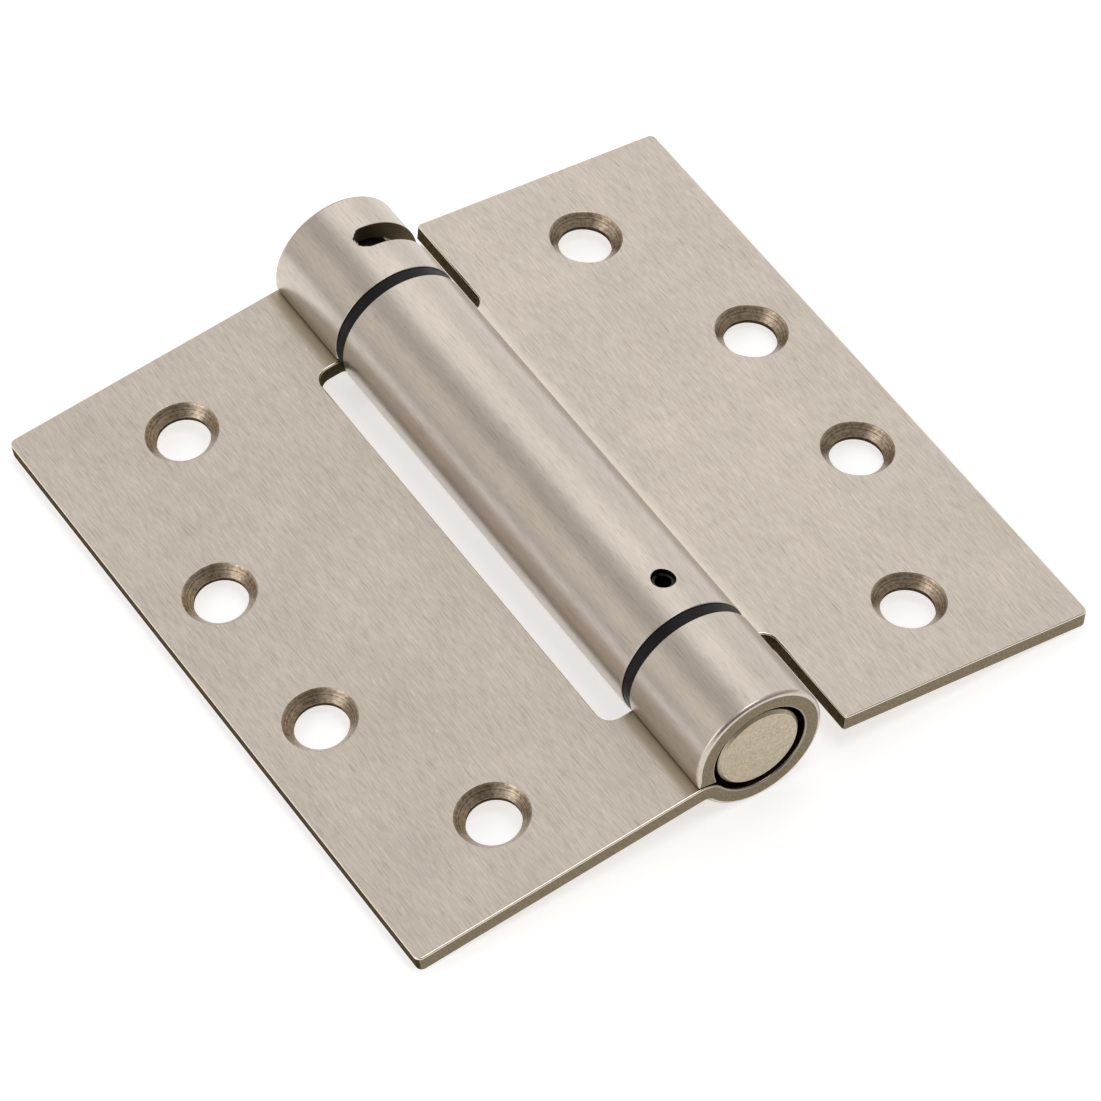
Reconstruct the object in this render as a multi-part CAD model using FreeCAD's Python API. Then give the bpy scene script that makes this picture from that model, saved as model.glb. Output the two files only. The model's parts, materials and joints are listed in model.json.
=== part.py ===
"""Self-closing door hinge: two rolled steel leaves on one barrel, with a torsion spring inside.

Millimetres, +Z up. The barrel axis runs along Y. The hinge lies open on a flat surface at Z = 0,
on the underside of its barrel and on the outer edges of both leaves. The frame leaf is on the -X
side, the door leaf on the +X side, and the winding end of the barrel is at +Y.
"""
import FreeCAD
import Part
import math
import os

from FreeCAD import Vector

# Leaves and barrel
HINGE_HEIGHT = 101.6
LEAF_REACH = 50.8
LEAF_GAUGE = 2.5
LEAF_CORNER_RADIUS = 0.9
EDGE_BREAK = 0.22
BARREL_RADIUS = 9.25
CLOSED_GAP = 2.5
ROOT_BEND_RADIUS = 1.2
SEAM_GAP = 0.3
TIP_LAND = 0.45
END_KNUCKLE_LENGTH = 15.55
NOTCH_CLEARANCE = 3.75
NOTCH_CORNER_RADIUS = 2.1

# Screw holes: two lines on each leaf, measured in from the leaf's outer edge
SCREW_HOLE_RADIUS = 3.6
COUNTERSINK_RADIUS = 4.9
COUNTERSINK_ANGLE = 82.0
HOLE_BACK_BREAK = 0.45
INNER_SCREWS_FROM_EDGE = 19.1
INNER_SCREW_SPACING = 76.0
OUTER_SCREWS_FROM_EDGE = 9.5
OUTER_SCREW_SPACING = 24.8

# Flanged bearings between the knuckles
FLANGE_THICKNESS = 1.6
FLANGE_INSET = 0.15
SLEEVE_WALL = 0.65
SLEEVE_LENGTH = 5.0
SLEEVE_FIT = 0.05
RUNNING_FIT = 0.05
AXIAL_PLAY = 0.1

# Winding spindle and its slot in the upper end knuckle
WINDING_SLOT_WIDTH = 3.6
WINDING_SLOT_FROM_END = 7.9
WINDING_SLOT_START = 90.0
WINDING_SLOT_SWEEP = 150.0
CAPSTAN_HOLE_RADIUS = 1.6
CAPSTAN_HOLE_ANGLE = 109.0
KEY_SOCKET_FLATS = 5.0
KEY_SOCKET_DEPTH = 6.0
SPINDLE_INSET = 0.4
SPINDLE_HEAD_LENGTH = 9.5
END_CHAMFER = 0.4

# Pivot plug in the lower end knuckle, pinned to the centre knuckle
PLUG_INSET = 0.15
PLUG_HEAD_LENGTH = 12.0
HEAD_CLEARANCE = 0.15
ROLL_PIN_RADIUS = 1.5
ROLL_PIN_WALL = 0.4
ROLL_PIN_SLIT = 0.5
ROLL_PIN_FROM_END = 5.95
ROLL_PIN_RECESS = 0.7
ROLL_PIN_LENGTH = 7.0
PIN_HOLE_CLEARANCE = 0.1

# Torsion spring of square wire
SPRING_WIRE = 2.5
SPRING_BORE_CLEARANCE = 0.5
SPRING_COIL_SPACE = 0.3
SPRING_LEG_LENGTH = 5.0
SPRING_SEAT_CLEARANCE = 0.3
SPRING_RUNS_PER_TURN = 16

# Sizes that follow from the ones above
HALF_HEIGHT = HINGE_HEIGHT / 2
LEAF_TOP = -CLOSED_GAP / 2
LEAF_UNDER = LEAF_TOP - LEAF_GAUGE
BORE_RADIUS = BARREL_RADIUS - LEAF_GAUGE
NOTCH_EDGE = BARREL_RADIUS + NOTCH_CLEARANCE
END_KNUCKLE_FACE = HALF_HEIGHT - END_KNUCKLE_LENGTH
CENTRE_KNUCKLE_FACE = END_KNUCKLE_FACE - FLANGE_THICKNESS - 2 * AXIAL_PLAY
SLEEVE_RADIUS = BORE_RADIUS - SLEEVE_FIT
SLEEVE_BORE = SLEEVE_RADIUS - SLEEVE_WALL
SHANK_RADIUS = SLEEVE_BORE - RUNNING_FIT
HEAD_RADIUS = BORE_RADIUS - HEAD_CLEARANCE
HEAD_FACE = CENTRE_KNUCKLE_FACE
SLOT_Y = HALF_HEIGHT - WINDING_SLOT_FROM_END
ROLL_PIN_Y = -CENTRE_KNUCKLE_FACE + ROLL_PIN_FROM_END
PIN_HOLE_RADIUS = ROLL_PIN_RADIUS + PIN_HOLE_CLEARANCE
SPRING_OUTER = BORE_RADIUS - SPRING_BORE_CLEARANCE
SPRING_MEAN = SPRING_OUTER - SPRING_WIRE / 2
SPRING_PITCH = SPRING_WIRE + SPRING_COIL_SPACE
SPRING_TOP = HEAD_FACE - SPINDLE_HEAD_LENGTH - SPRING_SEAT_CLEARANCE
SPRING_BOTTOM = -HEAD_FACE + PLUG_HEAD_LENGTH + SPRING_SEAT_CLEARANCE

AXIS = Vector(0, 1, 0)
UP = Vector(0, 0, 1)
ORIGIN = Vector(0, 0, 0)


def leaf_droop():
    """Angle by which each leaf slopes down, with the barrel and the leaf's outer edge on the surface."""
    arm = LEAF_REACH - EDGE_BREAK
    drop = -LEAF_UNDER
    return math.degrees(math.asin(BARREL_RADIUS / math.hypot(arm, drop)) - math.atan2(drop, arm))


def on_circle(centre, radius, angle):
    """Point on a circle in the XZ plane, with the angle in degrees from +X towards +Z."""
    turn = math.radians(angle)
    return Vector(centre.x + radius * math.cos(turn), 0, centre.z + radius * math.sin(turn))


def arc(centre, radius, start, end):
    """Circular edge in the XZ plane from one angle to another, in degrees."""
    points = [on_circle(centre, radius, angle) for angle in (start, (start + end) / 2, end)]
    return Part.Arc(*points).toShape()


def angle_about(centre, point):
    """Angle of a point about a centre in the XZ plane, in degrees."""
    return math.degrees(math.atan2(point.z - centre.z, point.x - centre.x))


def box(low, high):
    """Solid box between two corners."""
    size = high - low
    return Part.makeBox(size.x, size.y, size.z, low)


def turned(profile):
    """Solid of revolution about the barrel axis from (radius, y) points."""
    points = [Vector(radius, y, 0) for radius, y in profile]
    wire = Part.makePolygon(points + points[:1])
    return Part.Face(wire).revolve(ORIGIN, AXIS, 360)


def leaf_profile():
    """Outline of the sheet: flat leaf, root bend, and a roll that ends in a blunt tip above the bend."""
    bend_z = LEAF_UNDER - ROOT_BEND_RADIUS
    centres = BARREL_RADIUS + ROOT_BEND_RADIUS
    bend = Vector(math.sqrt(centres ** 2 - bend_z ** 2), 0, bend_z)
    root = angle_about(ORIGIN, bend)
    outer_bend = ROOT_BEND_RADIUS + LEAF_GAUGE
    seam = outer_bend + SEAM_GAP

    def tip_angle(radius):
        cosine = (centres ** 2 + radius ** 2 - seam ** 2) / (2 * centres * radius)
        return root + math.degrees(math.acos(cosine))

    tip_inner = tip_angle(BORE_RADIUS + TIP_LAND)
    tip_outer = tip_angle(BARREL_RADIUS)
    land_inner = on_circle(ORIGIN, BORE_RADIUS, tip_inner)
    land_outer = on_circle(ORIGIN, BORE_RADIUS + TIP_LAND, tip_inner)
    tip_corner = on_circle(ORIGIN, BARREL_RADIUS, tip_outer)
    edge_low = Vector(LEAF_REACH, 0, LEAF_UNDER)
    edge_high = Vector(LEAF_REACH, 0, LEAF_TOP)
    edges = [
        Part.makeLine(edge_low, edge_high),
        Part.makeLine(edge_high, Vector(bend.x, 0, LEAF_TOP)),
        arc(bend, outer_bend, 90, root + 180),
        arc(ORIGIN, BORE_RADIUS, root, tip_inner - 360),
        Part.makeLine(land_inner, land_outer),
        arc(bend, seam, angle_about(bend, land_outer), angle_about(bend, tip_corner)),
        arc(ORIGIN, BARREL_RADIUS, tip_outer, root + 360),
        arc(bend, ROOT_BEND_RADIUS, root + 180, 90),
        Part.makeLine(Vector(bend.x, 0, LEAF_UNDER), edge_low),
    ]
    return Part.Face(Part.Wire(edges))


def knuckle_cut(low_y, high_y):
    """Block that takes the roll and the leaf's root away between two heights, with rounded corners."""
    depth = 2 * BARREL_RADIUS
    block = box(Vector(-depth, low_y, -depth), Vector(NOTCH_EDGE, high_y, depth))
    corners = [edge for edge in block.Edges if is_upright(edge, NOTCH_EDGE)]
    return block.makeFillet(NOTCH_CORNER_RADIUS, corners)


def is_upright(edge, x):
    """True for an edge that runs along Z at the given X."""
    start, end = edge.Vertexes[0].Point, edge.Vertexes[-1].Point
    return abs(start.x - x) < 1e-6 and abs(end.x - x) < 1e-6 and abs(start.z - end.z) > 1e-6


def screw_hole(from_edge, y):
    """Countersunk screw hole, cut down from the leaf's top face, with its edge broken on the back."""
    depth = (COUNTERSINK_RADIUS - SCREW_HOLE_RADIUS) / math.tan(math.radians(COUNTERSINK_ANGLE / 2))
    x = LEAF_REACH - from_edge
    shank = Part.makeCylinder(SCREW_HOLE_RADIUS, 3 * LEAF_GAUGE, Vector(x, y, LEAF_UNDER - LEAF_GAUGE), UP)
    sink = Part.makeCone(SCREW_HOLE_RADIUS, COUNTERSINK_RADIUS, depth, Vector(x, y, LEAF_TOP - depth), UP)
    flare = 2 * HOLE_BACK_BREAK
    start = Vector(x, y, LEAF_UNDER - HOLE_BACK_BREAK)
    back = Part.makeCone(SCREW_HOLE_RADIUS + flare, SCREW_HOLE_RADIUS, flare, start, UP)
    return shank.fuse([sink, back])


def blank_leaf(cuts):
    """Rolled leaf on the +X side, flat, with its knuckle cuts, screw holes and broken edges."""
    sheet = leaf_profile()
    sheet.translate(Vector(0, -HALF_HEIGHT, 0))
    leaf = sheet.extrude(Vector(0, HINGE_HEIGHT, 0))
    leaf = leaf.cut(cuts)
    corners = [edge for edge in leaf.Edges if is_upright(edge, LEAF_REACH)]
    leaf = leaf.makeFillet(LEAF_CORNER_RADIUS, corners)
    rim = [edge for edge in leaf.Edges if is_outer_rim(edge)]
    leaf = leaf.makeChamfer(EDGE_BREAK, rim)
    holes = []
    for side in (-1, 1):
        holes.append(screw_hole(INNER_SCREWS_FROM_EDGE, side * INNER_SCREW_SPACING / 2))
        holes.append(screw_hole(OUTER_SCREWS_FROM_EDGE, side * OUTER_SCREW_SPACING / 2))
    return leaf.cut(holes)


def is_outer_rim(edge):
    """True for the straight edges along the leaf's outer side, which lead all round the leaf."""
    middle = edge.valueAt((edge.FirstParameter + edge.LastParameter) / 2)
    return abs(middle.x - LEAF_REACH) < 1e-6 and abs(middle.y) < 1e-6


def winding_slot():
    """Slot round the upper end knuckle with round ends, through which the spindle is wound."""
    half = WINDING_SLOT_WIDTH / 2
    inner, outer = BORE_RADIUS - LEAF_GAUGE, BARREL_RADIUS + LEAF_GAUGE
    end_turn = math.degrees(half / BARREL_RADIUS)
    section = Part.makePlane(outer - inner, WINDING_SLOT_WIDTH, Vector(inner, SLOT_Y - half, 0))
    section.rotate(ORIGIN, AXIS, -(WINDING_SLOT_START - end_turn))
    slot = section.revolve(ORIGIN, AXIS, WINDING_SLOT_SWEEP - 2 * end_turn)
    ends = []
    for angle in (WINDING_SLOT_START - end_turn, WINDING_SLOT_START - WINDING_SLOT_SWEEP + end_turn):
        outward = on_circle(ORIGIN, 1, angle)
        start = outward * inner + Vector(0, SLOT_Y, 0)
        ends.append(Part.makeCylinder(half, outer - inner, start, outward))
    return slot.fuse(ends)


def frame_leaf():
    """Leaf for the door frame: carries both end knuckles and the winding slot."""
    leaf = blank_leaf([knuckle_cut(-END_KNUCKLE_FACE, END_KNUCKLE_FACE)])
    leaf.rotate(ORIGIN, UP, 180)
    return leaf.cut(winding_slot())


def door_leaf():
    """Leaf for the door: carries the long centre knuckle and the roll pin's hole."""
    beyond = HINGE_HEIGHT
    ends = [knuckle_cut(CENTRE_KNUCKLE_FACE, beyond), knuckle_cut(-beyond, -CENTRE_KNUCKLE_FACE)]
    leaf = blank_leaf(ends)
    start = Vector(0, ROLL_PIN_Y, SHANK_RADIUS)
    return leaf.cut(Part.makeCylinder(PIN_HOLE_RADIUS, BARREL_RADIUS, start, UP))


def bearing(end):
    """Flanged bearing: a ring between two knuckles, with a sleeve that sits in the end knuckle."""
    inner_face = CENTRE_KNUCKLE_FACE + AXIAL_PLAY
    outer_face = inner_face + FLANGE_THICKNESS
    flange_radius = BARREL_RADIUS - FLANGE_INSET
    profile = [
        (SLEEVE_BORE, inner_face),
        (flange_radius, inner_face),
        (flange_radius, outer_face),
        (SLEEVE_RADIUS, outer_face),
        (SLEEVE_RADIUS, outer_face + SLEEVE_LENGTH),
        (SLEEVE_BORE, outer_face + SLEEVE_LENGTH),
    ]
    return turned([(radius, end * y) for radius, y in profile])


def spring_seat(end, face):
    """Groove for the spring's leg in the head of the spindle or the plug, open at the rim."""
    clear = SPRING_SEAT_CLEARANCE / 2
    inner = SPRING_OUTER - SPRING_WIRE - clear
    half = SPRING_WIRE / 2 + clear
    depth = SPRING_LEG_LENGTH
    low, high = sorted((face - end, face + end * depth))
    return box(Vector(inner, low, -half), Vector(2 * BARREL_RADIUS, high, half))


def tension_spindle():
    """Winding spindle: shank in the upper end knuckle, key socket on its end, head for the spring."""
    top = HALF_HEIGHT - SPINDLE_INSET
    face = HEAD_FACE - SPINDLE_HEAD_LENGTH
    spindle = turned([
        (0, face),
        (HEAD_RADIUS - END_CHAMFER, face),
        (HEAD_RADIUS, face + END_CHAMFER),
        (HEAD_RADIUS, HEAD_FACE),
        (SHANK_RADIUS, HEAD_FACE),
        (SHANK_RADIUS, top - END_CHAMFER),
        (SHANK_RADIUS - END_CHAMFER, top),
        (0, top),
    ])
    tools = [spring_seat(1, face), key_socket(top)]
    for angle in (CAPSTAN_HOLE_ANGLE, CAPSTAN_HOLE_ANGLE + 90):
        outward = on_circle(ORIGIN, 1, angle)
        start = Vector(0, SLOT_Y, 0) - outward * BORE_RADIUS
        tools.append(Part.makeCylinder(CAPSTAN_HOLE_RADIUS, 2 * BORE_RADIUS, start, outward))
    return spindle.cut(tools)


def key_socket(top):
    """Hexagonal key socket, sunk into the spindle's outer end."""
    corner = KEY_SOCKET_FLATS / math.sqrt(3)
    floor = Vector(0, top - KEY_SOCKET_DEPTH, 0)
    points = [on_circle(ORIGIN, corner, 60 * side) + floor for side in range(7)]
    return Part.Face(Part.makePolygon(points)).extrude(Vector(0, 2 * KEY_SOCKET_DEPTH, 0))


def pivot_plug():
    """Pivot plug: shank in the lower end knuckle, head pinned in the centre knuckle."""
    bottom = -HALF_HEIGHT + PLUG_INSET
    face = -HEAD_FACE + PLUG_HEAD_LENGTH
    plug = turned([
        (0, face),
        (HEAD_RADIUS - END_CHAMFER, face),
        (HEAD_RADIUS, face - END_CHAMFER),
        (HEAD_RADIUS, -HEAD_FACE),
        (SHANK_RADIUS, -HEAD_FACE),
        (SHANK_RADIUS, bottom + END_CHAMFER),
        (SHANK_RADIUS - END_CHAMFER, bottom),
        (0, bottom),
    ])
    depth = BARREL_RADIUS - ROLL_PIN_RECESS - ROLL_PIN_LENGTH - PIN_HOLE_CLEARANCE
    hole = Part.makeCylinder(PIN_HOLE_RADIUS, BARREL_RADIUS, Vector(0, ROLL_PIN_Y, depth), UP)
    return plug.cut([spring_seat(-1, face), hole])


def roll_pin():
    """Slit tube that pins the plug to the centre knuckle."""
    start = Vector(0, ROLL_PIN_Y, BARREL_RADIUS - ROLL_PIN_RECESS - ROLL_PIN_LENGTH)
    tube = Part.makeCylinder(ROLL_PIN_RADIUS, ROLL_PIN_LENGTH, start, UP)
    bore = Part.makeCylinder(ROLL_PIN_RADIUS - ROLL_PIN_WALL, ROLL_PIN_LENGTH, start, UP)
    half = ROLL_PIN_SLIT / 2
    slit = box(start + Vector(-half, 0, 0), start + Vector(half, 2 * ROLL_PIN_RADIUS, ROLL_PIN_LENGTH))
    return tube.cut([bore, slit])


def wire_section(angle, y):
    """Corners of the spring wire's square section at an angle about the barrel axis and a height."""
    half = SPRING_WIRE / 2
    corners = []
    for out, up in ((-1, -1), (1, -1), (1, 1), (-1, 1)):
        corners.append(on_circle(ORIGIN, SPRING_MEAN + out * half, angle) + Vector(0, y + up * half, 0))
    return corners


def flat_face(points):
    """Plane face inside the polygon through the points."""
    return Part.Face(Part.makePolygon(points + points[:1]))


def coil(bottom, top):
    """Square wire wound between two heights in short straight runs, so that each of its faces is flat."""
    height = top - bottom - SPRING_WIRE
    runs = round(height / SPRING_PITCH) * SPRING_RUNS_PER_TURN
    turn = 360 / SPRING_RUNS_PER_TURN
    rise = height / runs
    start = bottom + SPRING_WIRE / 2
    sections = [wire_section(turn * run, start + rise * run) for run in range(runs + 1)]
    faces = [flat_face(sections[0]), flat_face(sections[-1])]
    for low, high in zip(sections, sections[1:]):
        for side in range(4):
            faces.append(flat_face([low[side - 1], low[side], high[side]]))
            faces.append(flat_face([low[side - 1], high[side], high[side - 1]]))
    shell = Part.makeShell(faces)
    shell.sewShape()
    return Part.makeSolid(shell)


def torsion_spring():
    """Coil with a straight leg at each end that seats in a head."""
    half = SPRING_WIRE / 2
    reach = SPRING_LEG_LENGTH - SPRING_SEAT_CLEARANCE
    legs = []
    for end, face in ((-1, SPRING_BOTTOM), (1, SPRING_TOP)):
        low, high = sorted((face - end * SPRING_WIRE, face + end * reach))
        legs.append(box(Vector(SPRING_MEAN - half, low, -half), Vector(SPRING_MEAN + half, high, half)))
    return coil(SPRING_BOTTOM, SPRING_TOP).fuse(legs)


def set_down(shape, side):
    """Turns a piece with its leaf (side -1 frame, +1 door) to the resting slope and lifts it into place."""
    placed = shape.copy()
    placed.rotate(ORIGIN, AXIS, side * leaf_droop())
    placed.translate(Vector(0, 0, BARREL_RADIUS))
    return placed


def main():
    os.makedirs("parts", exist_ok=True)
    pieces = {
        "frame_leaf": set_down(frame_leaf(), -1),
        "door_leaf": set_down(door_leaf(), 1),
        "upper_bearing": set_down(bearing(1), -1),
        "lower_bearing": set_down(bearing(-1), -1),
        "tension_spindle": set_down(tension_spindle(), 1),
        "pivot_plug": set_down(pivot_plug(), 1),
        "roll_pin": set_down(roll_pin(), 1),
        "torsion_spring": set_down(torsion_spring(), 1),
    }
    for name, shape in pieces.items():
        print(name, "solids", len(shape.Solids), "valid", shape.isValid(), "volume", round(shape.Volume, 2))
        shape.exportStep(os.path.join("parts", name + ".step"))
    print("leaf droop", round(leaf_droop(), 4))


main()
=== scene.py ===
"""Looks of a self-closing door hinge: two rolled satin leaves, black bearing rings and a plugged barrel."""

import json
import math

import bpy
import numpy as np
from mathutils import Matrix, Vector
from mathutils.geometry import delaunay_2d_cdt


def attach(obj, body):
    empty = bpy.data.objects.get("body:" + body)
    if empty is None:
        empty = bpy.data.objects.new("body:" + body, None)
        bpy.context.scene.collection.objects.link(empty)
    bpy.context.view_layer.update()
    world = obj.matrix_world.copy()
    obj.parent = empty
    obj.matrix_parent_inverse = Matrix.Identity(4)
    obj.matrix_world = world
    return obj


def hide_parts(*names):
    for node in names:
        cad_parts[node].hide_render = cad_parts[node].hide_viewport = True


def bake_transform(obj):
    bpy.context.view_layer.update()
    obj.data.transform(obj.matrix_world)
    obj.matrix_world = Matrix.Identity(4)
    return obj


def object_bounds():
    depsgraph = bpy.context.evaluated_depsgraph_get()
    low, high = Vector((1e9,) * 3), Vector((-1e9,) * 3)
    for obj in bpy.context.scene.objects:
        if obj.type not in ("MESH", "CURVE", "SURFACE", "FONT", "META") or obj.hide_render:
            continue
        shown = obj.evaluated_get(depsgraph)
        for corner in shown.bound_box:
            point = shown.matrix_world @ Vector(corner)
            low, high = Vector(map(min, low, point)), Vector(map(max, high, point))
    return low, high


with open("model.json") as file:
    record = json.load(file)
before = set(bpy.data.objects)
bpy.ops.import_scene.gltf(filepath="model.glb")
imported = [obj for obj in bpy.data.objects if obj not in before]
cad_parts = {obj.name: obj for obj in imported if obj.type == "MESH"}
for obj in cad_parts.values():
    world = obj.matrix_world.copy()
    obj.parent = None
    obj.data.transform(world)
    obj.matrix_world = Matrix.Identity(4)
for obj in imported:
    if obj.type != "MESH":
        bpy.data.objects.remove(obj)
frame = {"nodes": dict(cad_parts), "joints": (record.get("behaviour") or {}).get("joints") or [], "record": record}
cad_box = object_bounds()

MM = 0.001
MOUNTS = {mount["name"]: mount for mount in frame["record"]["mounts"]}

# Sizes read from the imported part
BARREL_RADIUS = frame["joints"][0]["pos_m"][2]
HALF_HEIGHT = cad_box[1].y
LEAF_SLOPE = math.atan2(-MOUNTS["door_leaf_back"]["axis"][0], -MOUNTS["door_leaf_back"]["axis"][2])
SCREW_RADIUS = MOUNTS["door_leaf_inner_screws"]["dims"]["hole_r_mm"] * MM

# Sheet of the leaves, as in the solids
LEAF_REACH = 50.8 * MM
LEAF_GAUGE = 2.5 * MM
CLOSED_GAP = 2.5 * MM
ROOT_BEND_RADIUS = 1.2 * MM
SEAM_GAP = 0.3 * MM
ROLL_RADIANS = 6.0
TIP_LAND = 0.45 * MM
LEAF_CORNER_RADIUS = 0.9 * MM
NOTCH_CLEARANCE = 3.75 * MM
NOTCH_CORNER_RADIUS = 2.1 * MM
NOTCH_OUTER_CORNER = 0.45 * MM
KNUCKLE_CORNER = 0.3 * MM
END_KNUCKLE_FACE = 35.25 * MM
CENTRE_KNUCKLE_FACE = 33.45 * MM
COUNTERSINK_RADIUS = 4.9 * MM
COUNTERSINK_DEPTH = 1.5 * MM
HOLE_EXIT_BREAK = 0.45 * MM
WINDING_SLOT_WIDTH = 3.6 * MM
WINDING_SLOT_Y = 42.9 * MM
WINDING_SLOT_ENDS = (90.0, -60.0)
PIN_HOLE_RADIUS = 1.6 * MM
PIN_HOLE_Y = -27.5 * MM
PIN_HOLE_ANGLE = -270.0

# Torsion spring, as in its solid
SPRING_WIRE = 2.5 * MM
SPRING_MEAN = 5.0 * MM
SPRING_BOTTOM = -21.15 * MM
SPRING_TOP = 23.65 * MM
SPRING_TURNS = 15
SPRING_LEG = 4.7 * MM

# Rounded edges: top and back of the sheet, free ends of the barrel, knuckle ends at the rings, holes, and the
# least radius that a corner of the outline keeps
TOP_ROUND = 0.225 * MM
UNDER_ROUND = 0.23 * MM
BARREL_END_ROUND = 0.6 * MM
RING_END_ROUND = 0.12 * MM
HOLE_ROUND = 0.12 * MM
SMALLEST_CORNER = 0.02 * MM

# Runs along the sheet over which the barrel's rounding starts at the root and ends at the tip, and the margin
# within which an edge is a free end
END_ROUND_RUN = 3 * MM
TIP_ROUND_RUN = 1 * MM
FREE_END_MARGIN = 0.1 * MM

# Countersink: shares of the hole's rounding at its upper edge, and the small breaks at its foot and exit
RIM_SIDE, RIM_HIGH, RIM_LOW = 0.3, 0.15, 0.8
SMALL_BREAK = 0.05 * MM
FOOT_RISE = 0.06 * MM
FOOT_DROP = 0.02 * MM

# Torn end of the winding slot: its depth, and the waves on the half circle
SLOT_TEAR = 0.12 * MM
LONG_TEAR, SHORT_TEAR = 7, 17
LONG_TEAR_START = 0.6
SHORT_TEAR_SHARE = 0.6

# Widths beside the barrel: smoother plating on both leaves, painted brown shade on the frame leaf, and a painted
# highlight on the door leaf
ROOT_BURNISH = 3 * MM
PAINTED_SHADE_CREASE = 2.2 * MM
PAINTED_HIGHLIGHT_CREASE = 4.0 * MM

# Runs past the root over which painted shade starts in the seam and bore, and the polish of the edges with its
# painted highlight fades, and how far
BORE_RUN = 1 * MM
POLISH_RUN = 2 * MM
POLISH_LOSS = 0.75

# Sizes that follow from the ones above
LEAF_TOP = -CLOSED_GAP / 2
LEAF_UNDER = LEAF_TOP - LEAF_GAUGE
BORE_RADIUS = BARREL_RADIUS - LEAF_GAUGE
BEND_Z = LEAF_UNDER - ROOT_BEND_RADIUS
BEND_CENTRES = BARREL_RADIUS + ROOT_BEND_RADIUS
BEND_X = math.sqrt(BEND_CENTRES ** 2 - BEND_Z ** 2)
BEND_TOP_RADIUS = ROOT_BEND_RADIUS + LEAF_GAUGE
ROOT_ANGLE = math.atan2(BEND_Z, BEND_X)
BEND_TURN = ROOT_ANGLE + math.pi / 2
FLAT_LENGTH = LEAF_REACH - BEND_X
BEND_LENGTH = BEND_TURN * (ROOT_BEND_RADIUS + LEAF_GAUGE / 2)
ROLL_START = FLAT_LENGTH + BEND_LENGTH
ROLL_LENGTH = ROLL_RADIANS * (BORE_RADIUS + LEAF_GAUGE / 2)
SHEET_END = ROLL_START + ROLL_LENGTH
NOTCH_ALONG = LEAF_REACH - BARREL_RADIUS - NOTCH_CLEARANCE

# How finely the sheet and the spring are divided; the slot's step is in degrees
BENT_STEP = 0.45 * MM
STRAIGHT_STEP = 1.5 * MM
FLAT_STEP = 2.5 * MM
BEND_ROWS = 24
ARC_STEPS = 8
ROUND_STEPS = 5
CIRCLE_STEPS = 96
SLOT_STEP = 3
SPRING_STEPS = 64

# Smallest numbers that count: a triangle's doubled area, a length to divide by, millimetres between points
SLIVER_AREA = 1e-14
SHORTEST = 1e-12
SAME_POINT = 1e-6

# Order of the finishes on a leaf
FACE_FINISH, EDGE_FINISH, TURNED_FINISH, END_FINISH = range(4)

# Colours of the finishes, linear
SATIN_DARK = (0.50, 0.443, 0.39)
SATIN_LIGHT = (0.72, 0.66, 0.595)
SATIN_SPECK = (0.85, 0.80, 0.74)
SATIN_SCRATCH = (0.34, 0.30, 0.26)
# Painted highlight on the rounded top edges
SATIN_PAINTED_HIGHLIGHT = (0.89, 0.83, 0.71)
# Painted light in the crease beside the barrel: brown painted shade on the frame leaf, a painted highlight on the
# door leaf
CREASE_PAINTED_SHADE = (0.39, 0.325, 0.235)
CREASE_PAINTED_HIGHLIGHT = (0.80, 0.745, 0.655)
# Brown painted shade in the seam and inside the bore
BORE_PAINTED_SHADE = (0.17, 0.14, 0.105)
# Near-black sheared edges: painted shade for the dark surroundings they mirror
EDGE_DARK = (0.013, 0.0098, 0.0062)
EDGE_LIGHT = (0.085, 0.067, 0.045)
EDGE_TINT = (0.66, 0.58, 0.48)
END_DARK = (0.155, 0.128, 0.086)
END_LIGHT = (0.305, 0.257, 0.185)
END_TINT = (0.85, 0.77, 0.64)
SINK_DARK = (0.165, 0.12, 0.078)
SINK_LIGHT = (0.66, 0.55, 0.425)
PLUG_DARK = (0.43, 0.365, 0.265)
PLUG_LIGHT = (0.57, 0.495, 0.375)
BEARING_DARK = (0.002, 0.002, 0.0025)
BEARING_LIGHT = (0.007, 0.0068, 0.008)
SPINDLE_DARK = (0.035, 0.031, 0.021)
SPINDLE_LIGHT = (0.13, 0.118, 0.085)
SPRING_DARK = (0.16, 0.15, 0.14)
SPRING_LIGHT = (0.36, 0.34, 0.31)
PIN_DARK = (0.02, 0.018, 0.016)
PIN_LIGHT = (0.07, 0.065, 0.055)
WHITE = (1, 1, 1)

# Scale of the marks, per metre, and how much longer than wide they are
FINE_LINES, FINE_STRETCH = 7500, 14
COARSE_LINES, COARSE_STRETCH = 1800, 12
SPECK_LINES, SPECK_STRETCH = 3500, 2.5
SCRATCH_LINES, SCRATCH_STRETCH = 8000, 26
CLOUD_SCALE = 90
EDGE_GRAIN = 2500
END_GRAIN = 4000
SINK_GRAIN = 2200
SINK_RINGS = 5500
BEARING_GRAIN = 900
STEEL_GRAIN = 700
PLUG_GRAIN = 2600
PLUG_RINGS = 5000

# Middle of the noise, and the ranges of it that are spread over a finish
NOISE_MIDDLE = 0.5
NOISE_RANGE = (0.3, 0.7)
EDGE_RANGE = (0.25, 0.75)
SINK_RANGE = (0.36, 0.62)
PLUG_RANGE = (0.35, 0.65)
SPECK_RANGE = (0.76, 0.82)
SCRATCH_RANGE = (0.6, 0.72)

# Strength of the marks: contrast of the brushing, shares of a mark's colour, brightness of cloudy patches
LEAF_CONTRAST = 1.9
BARREL_CONTRAST = 1.3
COARSE_SHARE = 0.2
SPECK_SHARE = 0.5
SCRATCH_SHARE = 0.45
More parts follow.
